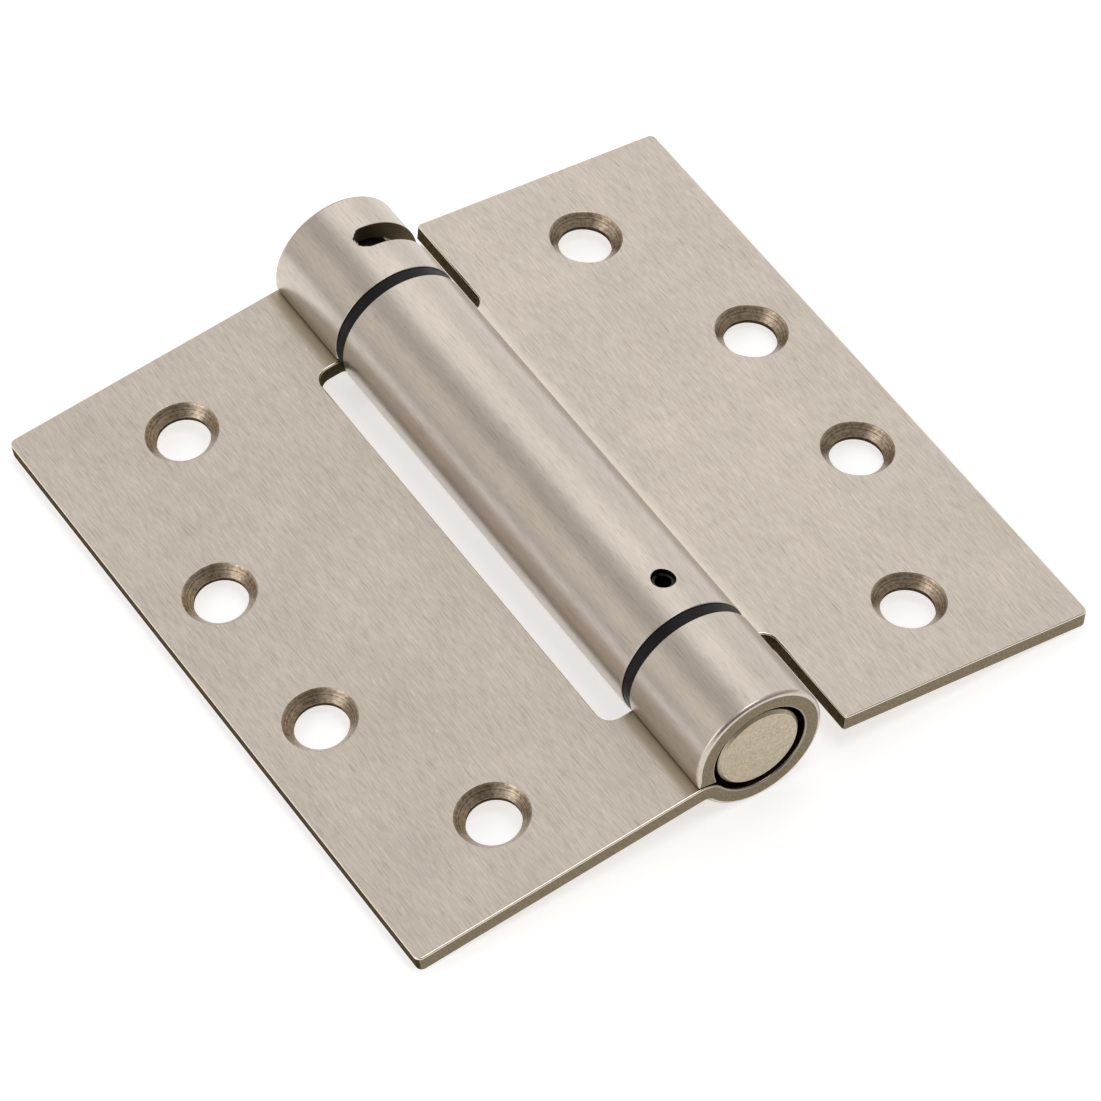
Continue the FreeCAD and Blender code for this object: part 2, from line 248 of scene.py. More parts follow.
# The next two shares mix in painted light: shade or a highlight in the crease, and a highlight on the rounded top
# edges
CREASE_SHARE = 0.85
PAINTED_HIGHLIGHT_SHARE = 0.85
SINK_GRAIN_SHARE = 0.42
PLUG_RING_SHARE = 0.3
CLOUD_LOW, CLOUD_HIGH = 0.95, 1.04

# Roughness: one value, or one at low and one at high noise
LEAF_ROUGHNESS = 0.46
BARREL_ROUGHNESS = 0.32
BRUSH_RIPPLE = 0.05
POLISH_SMOOTHING = 0.2
EDGE_ROUGHNESS = (0.55, 0.4)
SINK_ROUGHNESS = (0.38, 0.3)
BEARING_ROUGHNESS = (0.36, 0.5)
BEARING_SHEEN = 0.2
STEEL_ROUGHNESS = (0.55, 0.35)
PLUG_ROUGHNESS = (0.5, 0.36)

# Bumps: strength and height
BRUSH_BUMP = (0.35, 0.01 * MM)
EDGE_BUMP = (0.25, 0.03 * MM)
SINK_BUMP = (0.4, 0.03 * MM)
BEARING_BUMP = (0.15, 0.03 * MM)
STEEL_BUMP = (0.3, 0.04 * MM)
PLUG_BUMP = (0.3, 0.04 * MM)

# Floor: reach in metres, grey that it passes on, and glow that lifts it to white
FLOOR_REACH = 3.0
FLOOR_GREY = 0.7
FLOOR_GLOW = 0.57

# World light: its bright side, its colours in front and behind, and the range between them
SKY_TOWARDS = (0.45, 0.55, 0.70)
SKY_FRONT = (0.06, 0.045, 0.031)
SKY_BACK = (0.63, 0.61, 0.58)
SKY_RANGE = (-0.5, 0.9)

# Lamps: name, turn about the barrel in degrees, share towards its upper end, width, height, brightness and
# colour
LAMPS = (
    ("overhead_box", 66, 0.555, 0.7, 0.9, 0.55, WHITE),
    ("right_box", 20, 0.555, 0.6, 0.9, 0.36, WHITE),
    ("left_box", 149, 0.3, 0.66, 1.3, 0.40, (1, 0.94, 0.88)),
    ("front_left_box", 170, -0.60, 0.4, 0.5, 1.0, WHITE),
    ("side_box", 157, 0.02, 0.8, 0.55, 1.35, WHITE),
    ("top_box", 84, -0.25, 0.45, 0.5, 2.4, WHITE),
)

# Camera where the photograph was taken from: place, line of sight, and the direction of the picture's right
CAMERA_PLACE = (-0.28124, -0.46837, 0.63928)
CAMERA_FORWARD = (0.33475, 0.55500, -0.76152)
CAMERA_RIGHT = (0.84250, -0.53825, -0.02193)
CAMERA_LENS = 212.49
CAMERA_SENSOR = 36
CAMERA_NEAR, CAMERA_FAR = 0.05, 20


def roll_turn(depth):
    """Angle from the root round to the blunt tip, which follows a circle about the bend's centre.

    It is a full turn less the angle that the law of cosines gives at the barrel axis.
    """
    radius = BORE_RADIUS + np.maximum(depth, TIP_LAND)
    seam = BEND_TOP_RADIUS + SEAM_GAP
    cosine = (BEND_CENTRES ** 2 + radius ** 2 - seam ** 2) / (2 * BEND_CENTRES * radius)
    return 2 * math.pi - np.arccos(cosine)


def roll_along(angle, depth):
    """Distance along the sheet of an angle about the barrel axis, in degrees, on the rolled stretch."""
    return ROLL_START + ROLL_LENGTH * (ROOT_ANGLE - np.radians(angle)) / roll_turn(depth)


def sheet_points(along, across, depth):
    """Places on the rolled sheet and the direction in which depth grows there.

    along runs in from the leaf's outer edge, across runs up the barrel, and depth goes down from the top
    face. The flat leaf is a straight run, the root bend an arc about its own centre, of radius top radius
    minus depth, and the roll an arc about the barrel axis, of radius bore plus depth.
    """
    along, across, depth = np.broadcast_arrays(along, across, depth)
    bend = math.pi / 2 + BEND_TURN * np.clip((along - FLAT_LENGTH) / BEND_LENGTH, 0, 1)
    roll = ROOT_ANGLE - roll_turn(depth) * np.clip((along - ROLL_START) / ROLL_LENGTH, 0, 1)
    is_flat = along <= FLAT_LENGTH
    is_bend = along <= ROLL_START
    bend_radius = BEND_TOP_RADIUS - depth
    roll_radius = BORE_RADIUS + depth
    x = np.where(is_bend, BEND_X + bend_radius * np.cos(bend), roll_radius * np.cos(roll))
    z = np.where(is_bend, BEND_Z + bend_radius * np.sin(bend), roll_radius * np.sin(roll))
    x = np.where(is_flat, LEAF_REACH - along, x)
    z = np.where(is_flat, LEAF_TOP - depth, z)
    inward_x = np.where(is_flat, 0, np.where(is_bend, -np.cos(bend), np.cos(roll)))
    inward_z = np.where(is_flat, -1, np.where(is_bend, -np.sin(bend), np.sin(roll)))
    places = np.stack([x, across, z], -1)
    inward = np.stack([inward_x, np.zeros_like(x), inward_z], -1)
    return places, inward


def outline_rows(corners, insets):
    """Rows of a closed outline with square turns, one row for each inset that it is moved in by.

    Each corner is given as along, across and radius, and is a quarter circle. Its radius shrinks with the
    inset where the outline turns left and grows where it turns right. Every row has the same count of points.
    """
    places = np.array([corner[:2] for corner in corners])
    radii = np.array([corner[2] for corner in corners])
    leaving = np.roll(places, -1, 0) - places
    lengths = np.abs(leaving).sum(1)
    leaving = leaving / lengths[:, None]
    arriving = np.roll(leaving, 1, 0)
    turns_left = arriving[:, 0] * leaving[:, 1] - arriving[:, 1] * leaving[:, 0] > 0
    inward = np.stack([-arriving[:, 1] - leaving[:, 1], arriving[:, 0] + leaving[:, 0]], 1)
    steps = np.where(np.abs(leaving[:, 0]) > np.abs(leaving[:, 1]), BENT_STEP, STRAIGHT_STEP)
    counts = np.ceil(lengths / steps).astype(int)
    quarter = np.linspace(0, math.pi / 2, ARC_STEPS)[:, None]
    rows = []
    for inset in insets:
        moved = places + inset * inward
        radius = np.maximum(np.where(turns_left, radii - inset, radii + inset), SMALLEST_CORNER)[:, None]
        starts = moved + radius * leaving
        ends = np.roll(moved - radius * arriving, -1, 0)
        points = []
        for k in range(len(corners)):
            swing = arriving[k] * (np.sin(quarter) - 1) + leaving[k] * (1 - np.cos(quarter))
            points.append(moved[k] + radius[k] * swing)
            share = np.linspace(0, 1, counts[k] + 1)[1:-1, None]
            points.append(starts[k] + share * (ends[k] - starts[k]))
        rows.append(np.concatenate(points))
    return np.array(rows)


def edge_section(top_round, under_round):
    """Insets and depths from the top face over a rounded edge, down the cut face and round to the back.

    Each rounding is a quarter circle. On top, inset is the radius times one less the sine of the turn, and
    depth the radius times one less the cosine. On the back they change places, and depth counts up from the
    gauge. The roundings may be numbers, or arrays along the edge, and the rows then hold one value each.
    """
    turn = np.linspace(0, math.pi / 2, ROUND_STEPS)
    inset = np.concatenate([
        np.multiply.outer(1 - np.sin(turn), top_round),
        np.multiply.outer(1 - np.cos(turn), under_round),
    ])
    depth = np.concatenate([
        np.multiply.outer(1 - np.cos(turn), top_round),
        LEAF_GAUGE - np.multiply.outer(1 - np.sin(turn), under_round),
    ])
    return inset, depth


def ease(share):
    """Smooth step from 0 to 1: the share squared, times three less twice the share."""
    share = np.clip(share, 0, 1)
    return share * share * (3 - 2 * share)


def rim(rows, depth, cut, ring=0, polish_and_highlight=0):
    """An edge of the sheet: rows of (along, across) points, with depths, ring sizes, and polish that also carries
    a painted highlight.

    cut is the finish of each strip between two rows.
    """
    shape = rows.shape[:2]
    strips = (shape[0] - 1, shape[1])
    return {
        "along": rows[..., 0],
        "across": rows[..., 1],
        "depth": np.broadcast_to(np.reshape(depth, (shape[0], -1)), shape),
        "cut": np.broadcast_to(np.reshape(cut, (strips[0], -1)), strips),
        "ring": np.broadcast_to(np.reshape(ring, (-1, 1)), shape),
        "polish_and_highlight": np.broadcast_to(np.reshape(polish_and_highlight, (-1, 1)), shape),
    }


def outer_rim(corners):
    """The leaf's outer edge all round: rounded more at the ends of the barrel than along the flat leaf."""
    edge = outline_rows(corners, [0])[0]
    travel = np.roll(edge, -1, 0) - np.roll(edge, 1, 0)
    is_end = np.abs(travel[:, 0]) > np.abs(travel[:, 1])
    outward = -np.sign(travel[:, 0])
    at_free_end = np.abs(edge[:, 1]) > HALF_HEIGHT - FREE_END_MARGIN
    wanted = np.where(at_free_end, BARREL_END_ROUND, RING_END_ROUND)
    rolled = ease((edge[:, 0] - FLAT_LENGTH) / END_ROUND_RUN)
    rolled = rolled * ease((SHEET_END - KNUCKLE_CORNER - edge[:, 0]) / TIP_ROUND_RUN)
    under = np.where(is_end, UNDER_ROUND + (wanted - UNDER_ROUND) * rolled, UNDER_ROUND)
    inset, depth = edge_section(np.full(len(edge), TOP_ROUND), under)
    rows = outline_rows(corners, edge_section(TOP_ROUND, UNDER_ROUND)[0])
    rows[..., 1] = np.where(is_end & (rolled > 0), edge[:, 1] - outward * inset, rows[..., 1])
    finish = np.full((len(rows) - 1, len(edge)), FACE_FINISH)
    finish[ROUND_STEPS - 1] = np.where(is_end & at_free_end, END_FINISH, EDGE_FINISH)
    # Rows of the rounded top edge get polish: smoother, and a painted highlight in their colour
    polish_and_highlight = np.zeros(len(rows))
    polish_and_highlight[1:ROUND_STEPS] = 1
    return rim(rows, depth, finish, polish_and_highlight=polish_and_highlight)


def screw_rim(along, across):
    """Countersunk screw hole: a cone from the top face, a short straight land, and a broken lower edge."""
    radius, depth = np.array([
        (COUNTERSINK_RADIUS + HOLE_ROUND, 0),
        (COUNTERSINK_RADIUS + RIM_SIDE * HOLE_ROUND, RIM_HIGH * HOLE_ROUND),
        (COUNTERSINK_RADIUS - RIM_SIDE * HOLE_ROUND, RIM_LOW * HOLE_ROUND),
        (SCREW_RADIUS + SMALL_BREAK, COUNTERSINK_DEPTH - FOOT_RISE),
        (SCREW_RADIUS, COUNTERSINK_DEPTH + FOOT_DROP),
        (SCREW_RADIUS, LEAF_GAUGE - HOLE_EXIT_BREAK),
        (SCREW_RADIUS + SMALL_BREAK, LEAF_GAUGE - HOLE_EXIT_BREAK + SMALL_BREAK),
        (SCREW_RADIUS + HOLE_EXIT_BREAK, LEAF_GAUGE),
    ]).T
    turn = -np.linspace(0, 2 * math.pi, CIRCLE_STEPS, endpoint=False)
    circle = np.stack([np.cos(turn), np.sin(turn)], -1)
    rows = np.array([along, across]) + radius[:, None, None] * circle
    finish = [FACE_FINISH] + [TURNED_FINISH] * 3 + [EDGE_FINISH] * 3
    run = np.concatenate([[0], np.cumsum(np.hypot(np.diff(radius), np.diff(depth)))])
    return rim(rows, depth, finish, ring=run)


def roll_opening(start, end, across, half_width, wall, ragged=0.0):
    """Opening through the roll with round ends, between two angles about the barrel axis, in degrees.

    Its sides run round the barrel at a constant height and its ends are half circles, the first of them torn
    by two waves of the given size. wall is the finish of its cut faces.
    """
    inset, depth = edge_section(HOLE_ROUND, HOLE_ROUND)
    reach, deep = (half_width + inset)[:, None], depth[:, None]
    turn = np.linspace(0, math.pi, CIRCLE_STEPS // 2)
    run = np.linspace(start, end, max(2, round((end - start) / SLOT_STEP)))[1:-1]
    side_run = np.broadcast_to(run, (len(depth), len(run)))
    still = np.ones(len(run))
    swing = np.degrees(np.arcsin(reach * np.sin(turn) / (BORE_RADIUS + deep)))
    waves = np.sin(LONG_TEAR * turn + LONG_TEAR_START) + SHORT_TEAR_SHARE * np.sin(SHORT_TEAR * turn)
    tear = np.degrees(ragged / BARREL_RADIUS) * np.sin(turn) * waves
    angle = np.concatenate([start - swing - tear, side_run, end + swing, side_run[:, ::-1]], 1)
    over = across + reach * np.concatenate([np.cos(turn), -still, -np.cos(turn), still])
    rows = np.stack([roll_along(angle, deep), over], -1)
    if start == end:
        rows = np.delete(rows, [0, CIRCLE_STEPS // 2], 1)
    finish = np.full(len(depth) - 1, wall)
    finish[-2:] = FACE_FINISH
    return rim(rows, depth, finish)


def inside(points, loop):
    """True for each point inside a closed loop, by counting the sides that cross a ray from it."""
    ahead = np.roll(loop, -1, 0)
    x, y = points[:, None, 0], points[:, None, 1]
    crosses = (loop[:, 1] > y) != (ahead[:, 1] > y)
    rise = np.where(ahead[:, 1] == loop[:, 1], 1, ahead[:, 1] - loop[:, 1])
    meets = loop[:, 0] + (y - loop[:, 1]) / rise * (ahead[:, 0] - loop[:, 0])
    return (crosses & (x < meets)).sum(1) % 2 == 1


def fill_points(loops):
    """Points inside the first loop and clear of the others: sparse on the flat leaf, close where it bends."""
    flat = np.arange(FLAT_STEP, FLAT_LENGTH - PAINTED_HIGHLIGHT_CREASE, FLAT_STEP)
    bend = np.linspace(FLAT_LENGTH - PAINTED_HIGHLIGHT_CREASE, ROLL_START, BEND_ROWS)
    roll = np.arange(ROLL_START + BENT_STEP, SHEET_END, BENT_STEP)
    along = np.concatenate([flat, bend, roll])
    across = np.arange(-HALF_HEIGHT + FLAT_STEP / 2, HALF_HEIGHT, FLAT_STEP)
    grid = np.stack(np.meshgrid(along, across, indexing="ij"), -1).reshape(-1, 2)
    keep = inside(grid, loops[0])
    for loop in loops[1:]:
        keep &= ~inside(grid, loop)
    for loop in loops:
        clear = np.linalg.norm(grid[:, None] - loop, axis=2).min(1)
        keep &= clear > BENT_STEP / 2
    return grid[keep]


def fill(loops):
    """Triangles that fill the first loop around the other loops, and the points added inside."""
    added = fill_points(loops)
    points = np.concatenate(loops + [added])
    owners = [np.full(len(loop), k) for k, loop in enumerate(loops)]
    owner = np.concatenate(owners + [np.full(len(added), -1)])
    sides, first = [], 0
    for loop in loops:
        index = np.arange(first, first + len(loop))
        sides.append(np.stack([index, np.roll(index, -1)], 1))
        first += len(loop)
    scaled = [Vector(point) for point in (points / MM).tolist()]
    made = delaunay_2d_cdt(scaled, np.concatenate(sides).tolist(), [], 1, SAME_POINT)
    source = np.array([found[0] for found in made[3]])
    triangles = source[np.array(made[2])]
    of_loop = owner[triangles]
    in_hole = (of_loop[:, 0] > 0) & (of_loop == of_loop[:, :1]).all(1)
    triangles = triangles[~in_hole]
    corner = points[triangles]
    first_side, second_side = corner[:, 1] - corner[:, 0], corner[:, 2] - corner[:, 0]
    doubled = first_side[:, 0] * second_side[:, 1] - first_side[:, 1] * second_side[:, 0]
    is_whole = np.abs(doubled) > SLIVER_AREA
    triangles = triangles[is_whole]
    backwards = doubled[is_whole] < 0
    triangles[backwards] = triangles[backwards][:, ::-1]
    return triangles, added


def strip_normals(places):
    """Normals of rows of points on closed loops: the step along a loop crossed with the step between rows."""
    along = np.roll(places, -1, 1) - np.roll(places, 1, 1)
    down = np.gradient(places, axis=0)
    normal = np.cross(along, down)
    return normal / np.maximum(np.linalg.norm(normal, axis=-1, keepdims=True), SHORTEST)


def strip_faces(rows, count, first):
    """Quads between neighbouring rows of points on closed loops, numbered row by row."""
    index = first + np.arange(rows * count).reshape(rows, count)
    ahead = np.roll(index, -1, 1)
    return np.stack([index[:-1], ahead[:-1], ahead[1:], index[1:]], -1).reshape(-1, 4)


def bar_faces(rows, first):
    """Faces of a bar through rows of section corners, with both of its ends closed."""
    length, count = rows.shape[:2]
    ends = first + np.array([np.arange(count)[::-1], (length - 1) * count + np.arange(count)])
    return strip_faces(length, count, first).tolist() + ends.tolist()


def set_down(vectors, side, lift):
    """Turns vectors with their leaf (side -1 frame, +1 door) to the resting slope, and lifts them."""
    x, y, z = side * vectors[:, 0], side * vectors[:, 1], vectors[:, 2]
    sine, cosine = math.sin(side * LEAF_SLOPE), math.cos(side * LEAF_SLOPE)
    return np.stack([x * cosine + z * sine, y, z * cosine - x * sine + lift], 1)


def make_piece(name, places, normals, faces, finishes, values, materials):
    """A mesh object at the origin from points, normals, face corners, finishes and named values.

    Without normals its faces are flat.
    """
    mesh = bpy.data.meshes.new(name)
    mesh.from_pydata(places.tolist(), [], faces)
    mesh.polygons.foreach_set("material_index", np.asarray(finishes, np.int32))
    if normals is not None:
        mesh.polygons.foreach_set("use_smooth", np.ones(len(faces), bool))
        mesh.normals_split_custom_set_from_vertices(normals.tolist())
    for key, value in values.items():
        mesh.attributes.new(key, "FLOAT", "POINT").data.foreach_set("value", value.astype(np.float32))
    for material in materials:
        mesh.materials.append(material)
    piece = bpy.data.objects.new(name, mesh)
    bpy.context.scene.collection.objects.link(piece)
    return piece


def rolled_leaf(name, corners, openings, side, crease_width, materials):
    """A leaf: top and back faces of the sheet, filled between its rims, and the strips round every rim."""
    found = {key: [] for key in ("places", "normals", "finishes", "along", "depth", "ring", "polish_and_highlight")}
    top, back = ({"loops": [], "index": []} for _ in range(2))
    faces, first = [], 0
    for edge in [outer_rim(corners)] + openings:
        rows, count = edge["along"].shape
        places, inward = sheet_points(edge["along"], edge["across"], edge["depth"])
        normals = strip_normals(places)
        normals[0], normals[-1] = -inward[0], inward[-1]
        found["places"].append(places.reshape(-1, 3))
        found["normals"].append(normals.reshape(-1, 3))
        found["finishes"].append(edge["cut"].ravel())
        for key in ("along", "depth", "ring", "polish_and_highlight"):
            found[key].append(edge[key].ravel())
        faces += strip_faces(rows, count, first).tolist()
        index = first + np.arange(rows * count).reshape(rows, count)
        for face, row in ((top, 0), (back, -1)):
            face["loops"].append(np.stack([edge["along"][row], edge["across"][row]], 1))
            face["index"].append(index[row])
        first += rows * count
    for face, depth, facing in ((top, 0, -1), (back, LEAF_GAUGE, 1)):
        triangles, added = fill(face["loops"])
        places, inward = sheet_points(added[:, 0], added[:, 1], depth)
        found["places"].append(places)
        found["normals"].append(facing * inward)
        found["finishes"].append(np.full(len(triangles), FACE_FINISH))
        found["along"].append(added[:, 0])
        found["depth"].append(np.full(len(added), depth))
        found["ring"].append(np.zeros(len(added)))
        found["polish_and_highlight"].append(np.zeros(len(added)))
        numbers = np.concatenate(face["index"] + [first + np.arange(len(added))])
        faces += numbers[triangles][:, ::facing].tolist()
        first += len(added)
    found = {key: np.concatenate(arrays) for key, arrays in found.items()}
    past_root = found["along"] - FLAT_LENGTH
    # crease, bore and the edge polish carry painted light: shade or a highlight in the crease, shade in the seam
    # and bore, a highlight on the top edges
    values = {
        "ring": found["ring"],
        "rolled": ease((past_root + ROOT_BURNISH) / (ROOT_BURNISH + BEND_LENGTH)),
        "crease": ease(2 + 2 * past_root / crease_width) * (past_root < BEND_LENGTH),
        "bore": ease(past_root / BORE_RUN) * (found["depth"] < LEAF_GAUGE / 2),
        "polish_and_highlight": found["polish_and_highlight"] * (1 - POLISH_LOSS * ease(past_root / POLISH_RUN)),
    }
    places = set_down(found["places"], side, BARREL_RADIUS)
    normals = set_down(found["normals"], side, 0)
    return make_piece(name, places, normals, faces, found["finishes"], values, materials)


def screw_rims(leaf):
    """The four screw holes of a leaf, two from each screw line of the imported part."""
    rims = []
    for line in ("inner", "outer"):
        mount = MOUNTS[f"{leaf}_{line}_screws"]
        x, z = abs(mount["pos_m"][0]), mount["pos_m"][2] - BARREL_RADIUS
        from_axis = x * math.cos(LEAF_SLOPE) - z * math.sin(LEAF_SLOPE)
        for end in (-1, 1):
            rims.append(screw_rim(LEAF_REACH - from_axis, end * mount["dims"]["pcd_mm"] * MM / 2))
    return rims


def frame_leaf(materials):
    """Leaf with both end knuckles and the winding slot, drawn half a turn from where it lies."""
    corners = [
        (0, -HALF_HEIGHT, LEAF_CORNER_RADIUS),
        (SHEET_END, -HALF_HEIGHT, KNUCKLE_CORNER),
        (SHEET_END, -END_KNUCKLE_FACE, KNUCKLE_CORNER),
        (NOTCH_ALONG, -END_KNUCKLE_FACE, NOTCH_CORNER_RADIUS),
        (NOTCH_ALONG, END_KNUCKLE_FACE, NOTCH_CORNER_RADIUS),
        (SHEET_END, END_KNUCKLE_FACE, KNUCKLE_CORNER),
        (SHEET_END, HALF_HEIGHT, KNUCKLE_CORNER),
        (0, HALF_HEIGHT, LEAF_CORNER_RADIUS),
    ]
    half = WINDING_SLOT_WIDTH / 2
    end_turn = math.degrees(half / BARREL_RADIUS)
    start, end = (-180 - angle for angle in WINDING_SLOT_ENDS)
    slot = roll_opening(start + end_turn, end - end_turn, -WINDING_SLOT_Y, half, END_FINISH, SLOT_TEAR)
    openings = screw_rims("frame_leaf") + [slot]
    return rolled_leaf("frame_leaf_sheet", corners, openings, -1, PAINTED_SHADE_CREASE, materials)


def door_leaf(materials):
    """Leaf with the long centre knuckle and the roll pin's hole."""
    corners = [
        (0, -HALF_HEIGHT, LEAF_CORNER_RADIUS),
        (NOTCH_ALONG, -HALF_HEIGHT, NOTCH_OUTER_CORNER),
        (NOTCH_ALONG, -CENTRE_KNUCKLE_FACE, NOTCH_CORNER_RADIUS),
        (SHEET_END, -CENTRE_KNUCKLE_FACE, KNUCKLE_CORNER),
        (SHEET_END, CENTRE_KNUCKLE_FACE, KNUCKLE_CORNER),
        (NOTCH_ALONG, CENTRE_KNUCKLE_FACE, NOTCH_CORNER_RADIUS),
        (NOTCH_ALONG, HALF_HEIGHT, NOTCH_OUTER_CORNER),
        (0, HALF_HEIGHT, LEAF_CORNER_RADIUS),
    ]
    hole = roll_opening(PIN_HOLE_ANGLE, PIN_HOLE_ANGLE, PIN_HOLE_Y, PIN_HOLE_RADIUS, EDGE_FINISH)
    openings = screw_rims("door_leaf") + [hole]
    return rolled_leaf("door_leaf_sheet", corners, openings, 1, PAINTED_HIGHLIGHT_CREASE, materials)


def spring_half(name, first_turn, last_turn, leg_low, leg_high, material):
    """Part of the torsion spring: square wire wound at an even rise, and the straight leg at its outer end.

    At each turn the wire's corners lie half a wire inside and outside the mean radius, and half a wire below
    and above a height that grows evenly with the turn.
    """
    half = SPRING_WIRE / 2
    rise = (SPRING_TOP - SPRING_BOTTOM - SPRING_WIRE) / SPRING_TURNS
    turn = np.linspace(first_turn, last_turn, round((last_turn - first_turn) * SPRING_STEPS) + 1)[:, None]
    radius = SPRING_MEAN + half * np.array([-1, 1, 1, -1])
    height = SPRING_BOTTOM + half + rise * turn + half * np.array([-1, -1, 1, 1])
    coil = np.stack([radius * np.cos(2 * math.pi * turn), height, radius * np.sin(2 * math.pi * turn)], -1)
    x = SPRING_MEAN + half * np.array([-1, -1, 1, 1])
    z = half * np.array([-1, 1, 1, -1])
    leg = np.stack(np.broadcast_arrays(x, np.array([[leg_low], [leg_high]]), z), -1)
    places = set_down(np.concatenate([coil.reshape(-1, 3), leg.reshape(-1, 3)]), 1, BARREL_RADIUS)
    faces = bar_faces(coil, 0) + bar_faces(leg, coil.shape[0] * coil.shape[1])
    return make_piece(name, places, None, faces, np.zeros(len(faces)), {}, [material])


def torsion_spring(material):
    """Both halves of the spring, built in place of the imported spring, which is hidden."""
    low, high = SPRING_BOTTOM + SPRING_WIRE, SPRING_TOP - SPRING_WIRE
    half_way = SPRING_TURNS / 2
    lower = spring_half("lower_spring", 0, half_way, SPRING_BOTTOM - SPRING_LEG, low, material)
    upper = spring_half("upper_spring", half_way, SPRING_TURNS, high, SPRING_TOP + SPRING_LEG, material)
    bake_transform(lower)
    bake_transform(upper)
    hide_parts("torsion_spring")
    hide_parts("torsion_spring")


def add(tree, kind, inputs=None, **settings):
    """A new node with its settings, and its inputs set to a value or linked to a socket."""
    made = tree.nodes.new(kind)
    for key, value in settings.items():
        setattr(made, key, value)
    for key, value in (inputs or {}).items():
        if isinstance(value, bpy.types.NodeSocket):
            tree.links.new(value, made.inputs[key])
        else:
            made.inputs[key].default_value = value
    return made


def calculate(tree, operation, first, second, **settings):
    """One step of arithmetic on two values, each written or linked."""
    return add(tree, "ShaderNodeMath", {0: first, 1: second}, operation=operation, **settings).outputs[0]


def ramp(tree, value, low, high, to_low, to_high):
    """Value spread from one range to another, held at both ends."""
    inputs = {"Value": value, "From Min": low, "From Max": high, "To Min": to_low, "To Max": to_high}
    return add(tree, "ShaderNodeMapRange", inputs).outputs["Result"]


def mix(tree, share, first, second):
    """Two values mixed by a share."""
    return add(tree, "ShaderNodeMix", {0: share, 2: first, 3: second}).outputs[0]


def blend(tree, share, first, second, how="MIX"):
    """Two colours, each written or linked, mixed by a share."""
    made = add(tree, "ShaderNodeMix", data_type="RGBA", blend_type=how)
    for place, value in ((0, share), (6, first), (7, second)):
        if isinstance(value, bpy.types.NodeSocket):
            tree.links.new(value, made.inputs[place])
        else:
            made.inputs[place].default_value = value if place == 0 else (*value, 1)
    return made.outputs[2]


def stored(tree, name):
    """A value stored on the mesh."""
    return add(tree, "ShaderNodeAttribute", attribute_name=name).outputs["Fac"]


def object_place(tree):
    """Place in the object, in metres."""
    return add(tree, "ShaderNodeTexCoord").outputs["Object"]


def noise(tree, place, scale, detail, roughness):
    """Soft noise, about 0 to 1, over places given in metres."""
    inputs = {"Vector": place, "Scale": scale, "Detail": detail, "Roughness": roughness}
    return add(tree, "ShaderNodeTexNoise", inputs).outputs[0]


def line_noise(tree, place, lines, stretch, detail, roughness):
    """Noise drawn out along the barrel: lines per metre across it, and longer by the stretch along it."""
    scale = (lines, lines / stretch, lines)
    drawn_out = add(tree, "ShaderNodeMapping", {"Vector": place, "Scale": scale}).outputs[0]
    return noise(tree, drawn_out, 1, detail, roughness)


def tool_rings(tree, distance, per_metre):
    """Rings of a turning tool: noise that depends on one distance only, in metres."""
    inputs = {"W": calculate(tree, "MULTIPLY", distance, per_metre), "Scale": 1.0, "Detail": 2.0}
    return add(tree, "ShaderNodeTexNoise", inputs, noise_dimensions="1D").outputs[0]


def brushing_group():
    """Node group of brushed lines along the barrel, cloudy patches, small specks and dark scratches."""
    tree = bpy.data.node_groups.new("brushing", "ShaderNodeTree")
    tree.interface.new_socket("Contrast", in_out="INPUT", socket_type="NodeSocketFloat")
    for socket in ("Lines", "Clouds", "Specks", "Scratches"):
        tree.interface.new_socket(socket, in_out="OUTPUT", socket_type="NodeSocketFloat")
    given, result = tree.nodes.new("NodeGroupInput"), tree.nodes.new("NodeGroupOutput")
    place = object_place(tree)
    fine = line_noise(tree, place, FINE_LINES, FINE_STRETCH, detail=3, roughness=0.6)
    coarse = line_noise(tree, place, COARSE_LINES, COARSE_STRETCH, detail=2, roughness=0.5)
    centred = calculate(tree, "SUBTRACT", mix(tree, COARSE_SHARE, fine, coarse), NOISE_MIDDLE)
    scaled = calculate(tree, "MULTIPLY", centred, given.outputs["Contrast"])
    grit = line_noise(tree, place, SPECK_LINES, SPECK_STRETCH, detail=1, roughness=0.5)
    drag = line_noise(tree, place, SCRATCH_LINES, SCRATCH_STRETCH, detail=1, roughness=0.5)
    made = {
        "Lines": calculate(tree, "ADD", scaled, NOISE_MIDDLE, use_clamp=True),
        "Clouds": noise(tree, place, CLOUD_SCALE, detail=3, roughness=0.6),
        "Specks": ramp(tree, grit, *SPECK_RANGE, 0, SPECK_SHARE),
        "Scratches": ramp(tree, drag, *SCRATCH_RANGE, 0, SCRATCH_SHARE),
    }
    for socket, value in made.items():
        tree.links.new(value, result.inputs[socket])
    return tree


def principled(name, metallic):
    """A new material, its node tree and its shader."""
    material = bpy.data.materials.new(name)
    material.use_nodes = True
    shader = material.node_tree.nodes["Principled BSDF"]
    shader.inputs["Metallic"].default_value = metallic
    return material, material.node_tree, shader


def dress(tree, shader, colour, rough, height, strength, distance):
    """Links colour, roughness and the height of fine marks to a shader."""
    marks = add(tree, "ShaderNodeBump", {"Height": height, "Strength": strength, "Distance": distance})
    tree.links.new(colour, shader.inputs["Base Color"])
    tree.links.new(rough, shader.inputs["Roughness"])
    tree.links.new(marks.outputs[0], shader.inputs["Normal"])


